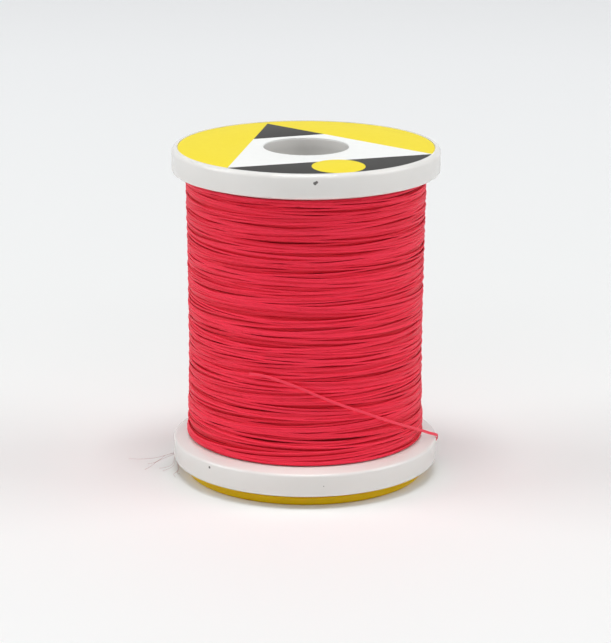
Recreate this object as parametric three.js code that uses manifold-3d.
// A small spool of fly-tying thread, standing on its snap-on locking base.
// Units are millimetres, +Z is up along the bore, and the origin is the middle of the standing face.
import * as THREE from 'three';
import { mergeVertices } from 'three/addons/utils/BufferGeometryUtils.js';
import Module from 'manifold-3d';

const wasm = await Module();
wasm.setup();

// ---- Driving dimensions -------------------------------------------------------------------------

// Spool body
const boreRadius = 4.5;
const flangeRadius = 14.25;
const flangeThickness = 2.95;
const flangeOuterRound = 0.5;      // on the label side of each flange
const flangeInnerRound = 0.25;     // on the winding side of each flange
const rimTaper = 0.46;             // how far the winding side falls away between thread and rim
const windingLength = 28.5;        // face to face between the two flanges
const barrelRadius = 11.8;
const barrelWall = 1.2;
const boreTubeWall = 1.2;
const boreTubeSeat = 1.2;          // flange thickness left outside the end of the bore tube
const boreMouthRound = 0.1;
const ribCount = 4;
const ribThickness = 1.0;
const spigotWall = 0.9;
const spigotLength = 2.4;

// Thread
const windingThickness = 0.95;     // at both ends of the winding
const windingWaist = 0.2;          // how much slimmer the winding is half way up
const threadDiameter = 0.2;        // a round stand-in for flat thread 0.3 wide

// Locking base
const baseHeight = 1.3;            // standing face to the flange's underside
const baseRadius = 12.8;
const baseEdgeRound = 0.25;
const footWidth = 1.1;
const footRecess = 0.3;
const nipDepth = 0.4;              // slot that pinches the thread, under the flange
const nipWidth = 0.9;
const snapTravel = 1.2;            // how far the base drops to open the nip
const legCount = 4;
const legThickness = 1.0;
const legWidth = 3.0;
const hookReach = 0.5;
const hookHeight = 1.2;
const hookLip = 0.4;               // upright part of each hook's nose, below its slope
const hookTip = 0.65;              // flat left on top of each hook

// Labels
const labelMargin = 0.65;          // from the flange's edge to the label's edge
const labelThickness = 0.1;
const labelRecess = 0.14;
const labelHoleMargin = 0.05;      // label's hole is this much larger in radius than the bore

// Clearances
const slipFit = 0.1;               // between pieces that are pushed together
const slotFit = 0.15;              // round each leg in its slot
const hookGap = 0.25;              // between the hooks and the spigot round them
const closedGap = 0.05;            // between the closed base and the flange
const stopGap = 0.1;               // left between hook and flange when the base is open
const layGap = 0.05;               // between the thread and what it lies on

const segments = 60;               // round every turned piece
const roundSteps = 3;              // half the steps in each rounded edge

// ---- Levels up the spool ------------------------------------------------------------------------

const lowerFlangeBottom = baseHeight;
const lowerFlangeTop = lowerFlangeBottom + flangeThickness;
const upperFlangeBottom = lowerFlangeTop + windingLength;
const upperFlangeTop = upperFlangeBottom + flangeThickness;

const barrelBore = barrelRadius - barrelWall;
const boreTubeRadius = boreRadius + boreTubeWall;
const spigotRadius = barrelBore - slipFit;
const labelRadius = flangeRadius - labelMargin;
const labelHole = boreRadius + labelHoleMargin;
const baseTop = baseHeight - closedGap;
const legRadius = spigotRadius - spigotWall - hookGap - hookReach;   // outer face of each leg
const taperStart = barrelRadius + windingThickness;
const taperAngle = Math.atan2(rimTaper, flangeRadius - taperStart);
const innerRoundRise = flangeInnerRound * (1 - Math.sin(taperAngle)) / Math.cos(taperAngle);
const slotInner = legRadius - legThickness - slotFit;
const slotOuter = legRadius + slotFit;

// ---- Materials ----------------------------------------------------------------------------------

function plastic(color, roughness) {
  return new THREE.MeshStandardMaterial({ color, roughness, metalness: 0 });
}

const whiteStyrene = plastic('#f1f2f0', 0.35);
const yellowStyrene = plastic('#f2c21a', 0.35);
const labelPaper = plastic('#f8ec4a', 0.5);
const redThread = plastic('#e5303f', 0.6);

// ---- Shape helpers ------------------------------------------------------------------------------

// A ring turned about Z from a closed outline in (radius, height).
function turned(outline) {
  const points = outline.getPoints(roundSteps);
  if (!points[0].equals(points[points.length - 1])) {
    points.push(points[0].clone());
  }
  const ring = new THREE.LatheGeometry(points, segments);
  ring.rotateX(Math.PI / 2);
  return ring;
}

// A rectangle in (radius, height), as a ring's section.
function ringSection(inner, outer, low, high) {
  const outline = new THREE.Path();
  outline.moveTo(inner, low);
  outline.lineTo(outer, low);
  outline.lineTo(outer, high);
  outline.lineTo(inner, high);
  outline.lineTo(inner, low);
  return outline;
}

// A block from low to high whose sides run along X, turned about Z.
function spoke(inner, outer, width, low, high, angle) {
  const block = new THREE.BoxGeometry(outer - inner, width, high - low);
  block.translate((inner + outer) / 2, 0, (low + high) / 2);
  block.rotateZ(angle);
  return block;
}

function solidOf(geometry) {
  const bare = geometry.clone();
  bare.deleteAttribute('normal');
  bare.deleteAttribute('uv');
  const merged = mergeVertices(bare, 1e-5);
  return new wasm.Manifold(new wasm.Mesh({
    numProp: 3,
    vertProperties: new Float32Array(merged.attributes.position.array),
    triVerts: new Uint32Array(merged.index.array),
  }));
}

function geometryOf(solid) {
  const mesh = solid.getMesh();
  const geometry = new THREE.BufferGeometry();
  geometry.setAttribute('position', new THREE.BufferAttribute(mesh.vertProperties, 3));
  geometry.setIndex(new THREE.BufferAttribute(mesh.triVerts, 1));
  geometry.computeVertexNormals();
  return geometry;
}

function joined(first, others) {
  return geometryOf(others.reduce((solid, other) => solid.add(solidOf(other)), solidOf(first)));
}

function cut(first, others) {
  return geometryOf(others.reduce((solid, other) => solid.subtract(solidOf(other)), solidOf(first)));
}

function named(name, geometry, material, height = 0) {
  const mesh = new THREE.Mesh(geometry, material);
  mesh.name = name;
  mesh.position.z = height;
  return mesh;
}

function around(count, start) {
  return Array.from({ length: count }, (_, i) => start + (i * 2 * Math.PI) / count);
}

// ---- Flanges ------------------------------------------------------------------------------------

// One flange, its label side up at z = 0 and its winding side at -flangeThickness. A spigot on the
// winding side centres the barrel, and a seat round the bore takes the end of the bore tube.
function flangeOutline(recess) {
  const inside = -flangeThickness;
  const seatRadius = boreTubeRadius + slipFit;
  const outline = new THREE.Path();
  outline.moveTo(boreRadius, -boreTubeSeat);
  outline.lineTo(seatRadius, -boreTubeSeat);
  outline.lineTo(seatRadius, inside);
  outline.lineTo(spigotRadius - spigotWall, inside);
  outline.lineTo(spigotRadius - spigotWall, inside - spigotLength);
  outline.lineTo(spigotRadius, inside - spigotLength);
  outline.lineTo(spigotRadius, inside);
  outline.lineTo(taperStart, inside);
  outline.absarc(flangeRadius - flangeInnerRound, inside + rimTaper + innerRoundRise,
    flangeInnerRound, taperAngle - Math.PI / 2, 0, false);
  outline.lineTo(flangeRadius, -flangeOuterRound);
  outline.absarc(flangeRadius - flangeOuterRound, -flangeOuterRound, flangeOuterRound,
    0, Math.PI / 2, false);
  if (recess > 0) {
    outline.lineTo(labelRadius + slipFit / 2, 0);
    outline.lineTo(labelRadius + slipFit / 2, -recess);
  }
  outline.lineTo(boreRadius + boreMouthRound, -recess);
  outline.absarc(boreRadius + boreMouthRound, -recess - boreMouthRound, boreMouthRound,
    Math.PI / 2, Math.PI, false);
  outline.lineTo(boreRadius, -boreTubeSeat);
  return outline;
}

function topFlange() {
  return named('top_flange', turned(flangeOutline(labelRecess)), whiteStyrene, upperFlangeTop);
}

// The lower flange faces down, and has a slot for each leg of the locking base.
function bottomFlange() {
  const body = turned(flangeOutline(0));
  body.rotateX(Math.PI);
  const slots = around(legCount, Math.PI / legCount).map((angle) => spoke(
    slotInner, slotOuter, legWidth + 2 * slotFit, -flangeThickness, 2 * flangeThickness, angle));
  return named('bottom_flange', cut(body, slots), whiteStyrene, lowerFlangeBottom);
}

// ---- Barrel and bore tube -----------------------------------------------------------------------

function windingBarrel() {
  const section = ringSection(barrelBore, barrelRadius, 0, windingLength);
  return named('winding_barrel', turned(section), whiteStyrene, lowerFlangeTop);
}

// The ribs stand between the two spigots and hold the barrel in line with the bore.
function boreTube() {
  const low = lowerFlangeBottom + boreTubeSeat;
  const high = upperFlangeTop - boreTubeSeat;
  const ribLow = lowerFlangeTop + spigotLength + slipFit;
  const ribHigh = upperFlangeBottom - spigotLength - slipFit;
  const tube = turned(ringSection(boreRadius, boreTubeRadius, low, high));
  const ribs = around(ribCount, 0).map((angle) => spoke(
    boreTubeRadius - boreTubeWall / 2, barrelBore - slipFit, ribThickness, ribLow, ribHigh, angle));
  return named('bore_tube', joined(tube, ribs), whiteStyrene);
}

// ---- Locking base -------------------------------------------------------------------------------

function hookedLeg(angle) {
  const stem = new THREE.Shape();
  const hookLow = flangeThickness + closedGap + snapTravel + stopGap;
  const hookTop = hookLow + hookHeight;
  const inner = legRadius - legThickness;
  stem.moveTo(inner, -closedGap - nipDepth);
  stem.lineTo(legRadius, -closedGap - nipDepth);
  stem.lineTo(legRadius, hookLow);
  stem.lineTo(legRadius + hookReach, hookLow);
  stem.lineTo(legRadius + hookReach, hookLow + hookLip);
  stem.lineTo(inner + hookTip, hookTop);
  stem.lineTo(inner, hookTop);
  stem.closePath();
  const leg = new THREE.ExtrudeGeometry(stem, { depth: legWidth, bevelEnabled: false });
  leg.translate(0, 0, -legWidth / 2);
  leg.rotateX(Math.PI / 2);
  leg.rotateZ(angle);
  leg.translate(0, 0, baseTop);
  return leg;
}

// A disc smaller than the flange. Its foot ring stands on the table, the label lies in the recess
// inside the ring, and the step round its top edge is the nip that holds the thread.
function lockBase() {
  const hole = boreRadius;
  const outline = new THREE.Path();
  outline.moveTo(hole, footRecess);
  outline.lineTo(baseRadius - footWidth, footRecess);
  outline.lineTo(baseRadius - footWidth, 0);
  outline.lineTo(baseRadius - baseEdgeRound, 0);
  outline.absarc(baseRadius - baseEdgeRound, baseEdgeRound, baseEdgeRound, -Math.PI / 2, 0, false);
  outline.lineTo(baseRadius, baseTop - nipDepth);
  outline.lineTo(baseRadius - nipWidth, baseTop - nipDepth);
  outline.lineTo(baseRadius - nipWidth, baseTop);
  outline.lineTo(hole, baseTop);
  outline.lineTo(hole, footRecess);
  const legs = around(legCount, Math.PI / legCount).map(hookedLeg);
  return named('lock_base', joined(turned(outline), legs), yellowStyrene);
}

// ---- Labels -------------------------------------------------------------------------------------

function topLabel() {
  const floor = upperFlangeTop - labelRecess;
  const section = ringSection(labelHole, labelRadius, 0, labelThickness);
  return named('top_label', turned(section), labelPaper, floor);
}

function bottomLabel() {
  const radius = baseRadius - footWidth - slipFit;
  const section = ringSection(labelHole, radius, 0, labelThickness);
  return named('bottom_label', turned(section), labelPaper, footRecess - labelThickness);
}

// ---- Thread -------------------------------------------------------------------------------------

// The wound thread fills the space between the flanges, slightly waisted half way up.
function threadWinding() {
  const low = layGap;
  const high = windingLength - layGap;
  const edge = barrelRadius + windingThickness;
  const waist = edge - 2 * windingWaist;
  const outline = new THREE.Path();
  outline.moveTo(barrelRadius + layGap, low);
  outline.lineTo(edge, low);
  outline.quadraticCurveTo(waist, (low + high) / 2, edge, high);
  outline.lineTo(barrelRadius + layGap, high);
  outline.lineTo(barrelRadius + layGap, low);
  return named('thread_winding', turned(outline), redThread, lowerFlangeTop);
}

// The free end: out of the winding, down across it, over the lower rim, round the back in the nip
// of the locking base, and out again on the far side.
const tailRoute = [
  [-5.8, -11.4, 13.95], [-4.4, -12.05, 13.95], [-2.65, -12.55, 13.55], [-0.7, -12.8, 12.9],
  [1.2, -12.8, 12.05], [3.55, -12.35, 10.95], [5.85, -11.45, 9.9], [7.95, -10.15, 8.75],
  [9.75, -8.45, 7.65], [11.2, -6.45, 6.6], [12.35, -4.55, 5.7], [13.4, -2.6, 4.75],
  [14.27, -0.95, 4], [14.43, 0.25, 3.42], [14.38, 1.5, 2.75], [14.18, 2.7, 2],
  [13.87, 3.5, 1.4], [13.45, 3.95, 1.14], [12.7, 4.6, 1.07], [11.8, 5.3, 1.07],
  [10.8, 6.2, 1.07], [9.55, 7.85, 1.07], [7.95, 9.45, 1.07], [5.8, 10.9, 1.07],
  [3, 11.98, 1.07], [0, 12.35, 1.07], [-3, 11.98, 1.07], [-5.8, 10.9, 1.07],
  [-8.25, 9.2, 1.07], [-10.2, 7.4, 1.07], [-11.8, 5.75, 1], [-13.05, 4.25, 0.9],
  [-13.9, 2.95, 0.8],
];

function threadTail() {
  const route = new THREE.CatmullRomCurve3(tailRoute.map((point) => new THREE.Vector3(...point)));
  const round = new THREE.Shape();
  round.absarc(0, 0, threadDiameter / 2, 0, 2 * Math.PI, false);
  const tail = new THREE.ExtrudeGeometry(round, {
    steps: 80, curveSegments: 4, bevelEnabled: false, extrudePath: route,
  });
  return named('thread_tail', tail, redThread);
}

// ---- The spool ----------------------------------------------------------------------------------

const spool = new THREE.Group();
spool.add(
  windingBarrel(),
  boreTube(),
  topFlange(),
  bottomFlange(),
  lockBase(),
  topLabel(),
  bottomLabel(),
  threadWinding(),
  threadTail(),
);

export default spool;
